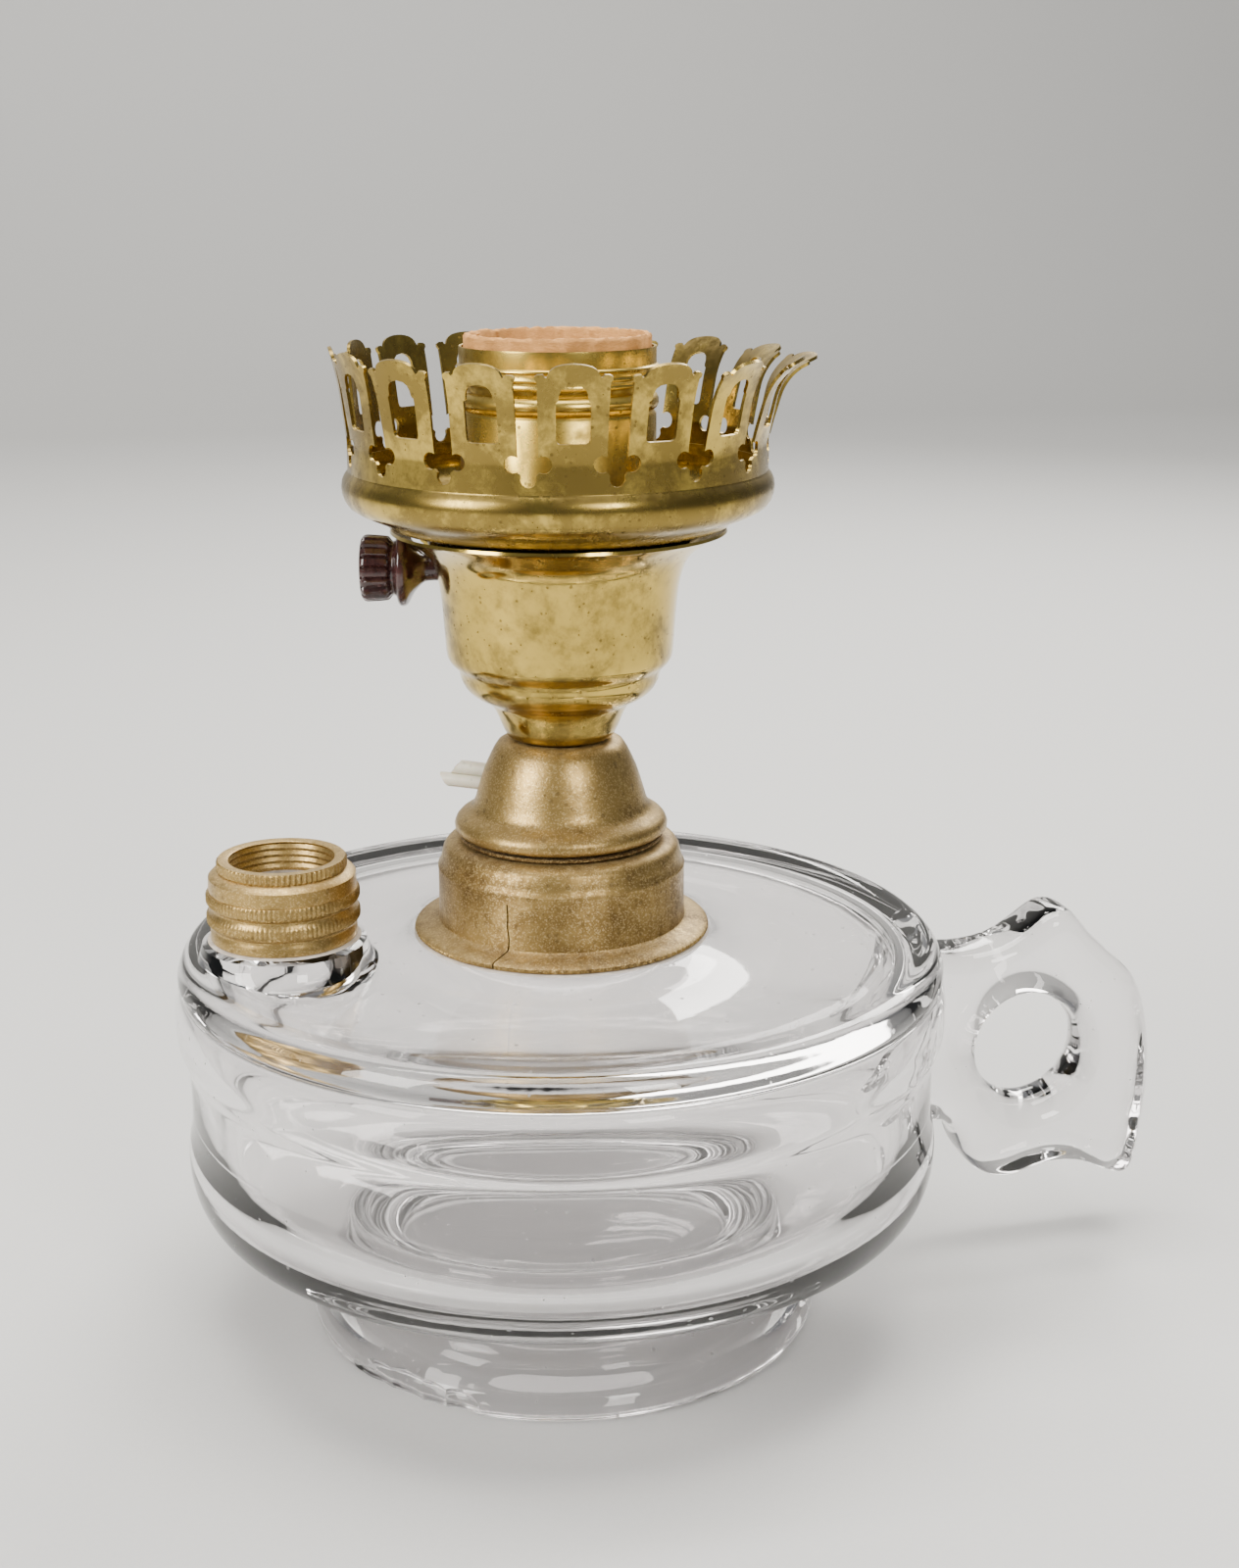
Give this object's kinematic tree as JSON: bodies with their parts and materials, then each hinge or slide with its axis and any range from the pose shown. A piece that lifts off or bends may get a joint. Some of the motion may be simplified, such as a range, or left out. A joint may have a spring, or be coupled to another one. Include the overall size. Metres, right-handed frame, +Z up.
{
  "type": "oil lamp",
  "caption": "Clear pressed-glass finger oil lamp with side filler, converted with a brass husk, pronged chimney gallery and a turn-knob lamp socket.",
  "frame": {"origin": "on the ground under the middle of the lamp's overall box; the lamp's own axis stands 24.1 mm towards -X from it", "axes": "+X towards the finger handle, -X towards the side filler, +Z up"},
  "size_m": [0.1888, 0.1406, 0.1806],
  "materials": {
    "clear_glass": "clear pressed glass, faint pink tint",
    "gold_paint": "old gold paint, metallic flake, dull",
    "polished_brass": "polished brass with age spots",
    "plain_steel": "zinc plated steel",
    "copper": "bare copper",
    "fibre": "fibre board, orange tan",
    "cement": "pale plaster",
    "bakelite": "dark brown bakelite, glossy",
    "vinyl": "cream twin flex"
  },
  "bodies": {
    "root": {"glass_font": "clear_glass", "finger_handle": "clear_glass", "burner_collar": "gold_paint", "collar_plaster": "cement", "filler_collar": "gold_paint", "filler_plaster": "cement"},
    "adapter": {"adapter_thread_ring": "polished_brass"},
    "burner": {"adapter_dome": "gold_paint", "lamp_nipple": "plain_steel", "nipple_locknut": "plain_steel", "burner_husk": "polished_brass", "socket_cap": "polished_brass", "cap_set_screw": "plain_steel", "cap_liner": "fibre", "socket_shell": "polished_brass", "shell_insulator": "fibre", "socket_body": "bakelite", "terminal_screw_hot": "polished_brass", "terminal_screw_neutral": "plain_steel", "wire_hot": "copper", "wire_neutral": "copper", "screw_shell": "copper", "center_contact": "polished_brass", "lamp_cord": "vinyl"},
    "knob": {"turn_knob": "bakelite", "switch_shaft": "plain_steel", "switch_rotor": "fibre"},
    "gallery": {"chimney_gallery": "polished_brass"}
  },
  "joints": [
    {"name": "adapter_lift", "type": "slide", "parent": "root", "child": "adapter", "axis": [0, 0, 1], "range_m": [0, 0.0126]},
    {"name": "adapter_turn", "type": "hinge", "parent": "adapter", "child": "burner", "pos_m": [-0.0241, 0, 0.0923], "axis": [0, 0, 1], "range_deg": [0, 2520]},
    {"name": "knob_turn", "type": "hinge", "parent": "burner", "child": "knob", "pos_m": [-0.0241, 0, 0.1401], "axis": [-0.9703, 0.2419, 0], "continuous": true},
    {"name": "gallery_lift", "type": "slide", "parent": "burner", "child": "gallery", "axis": [0, 0, 1], "range_m": [0, 0.036]}
  ],
  "couplings": [
    {"joint": "adapter_lift", "follows": "adapter_turn", "m_per_rad": 0.00028648}
  ]
}
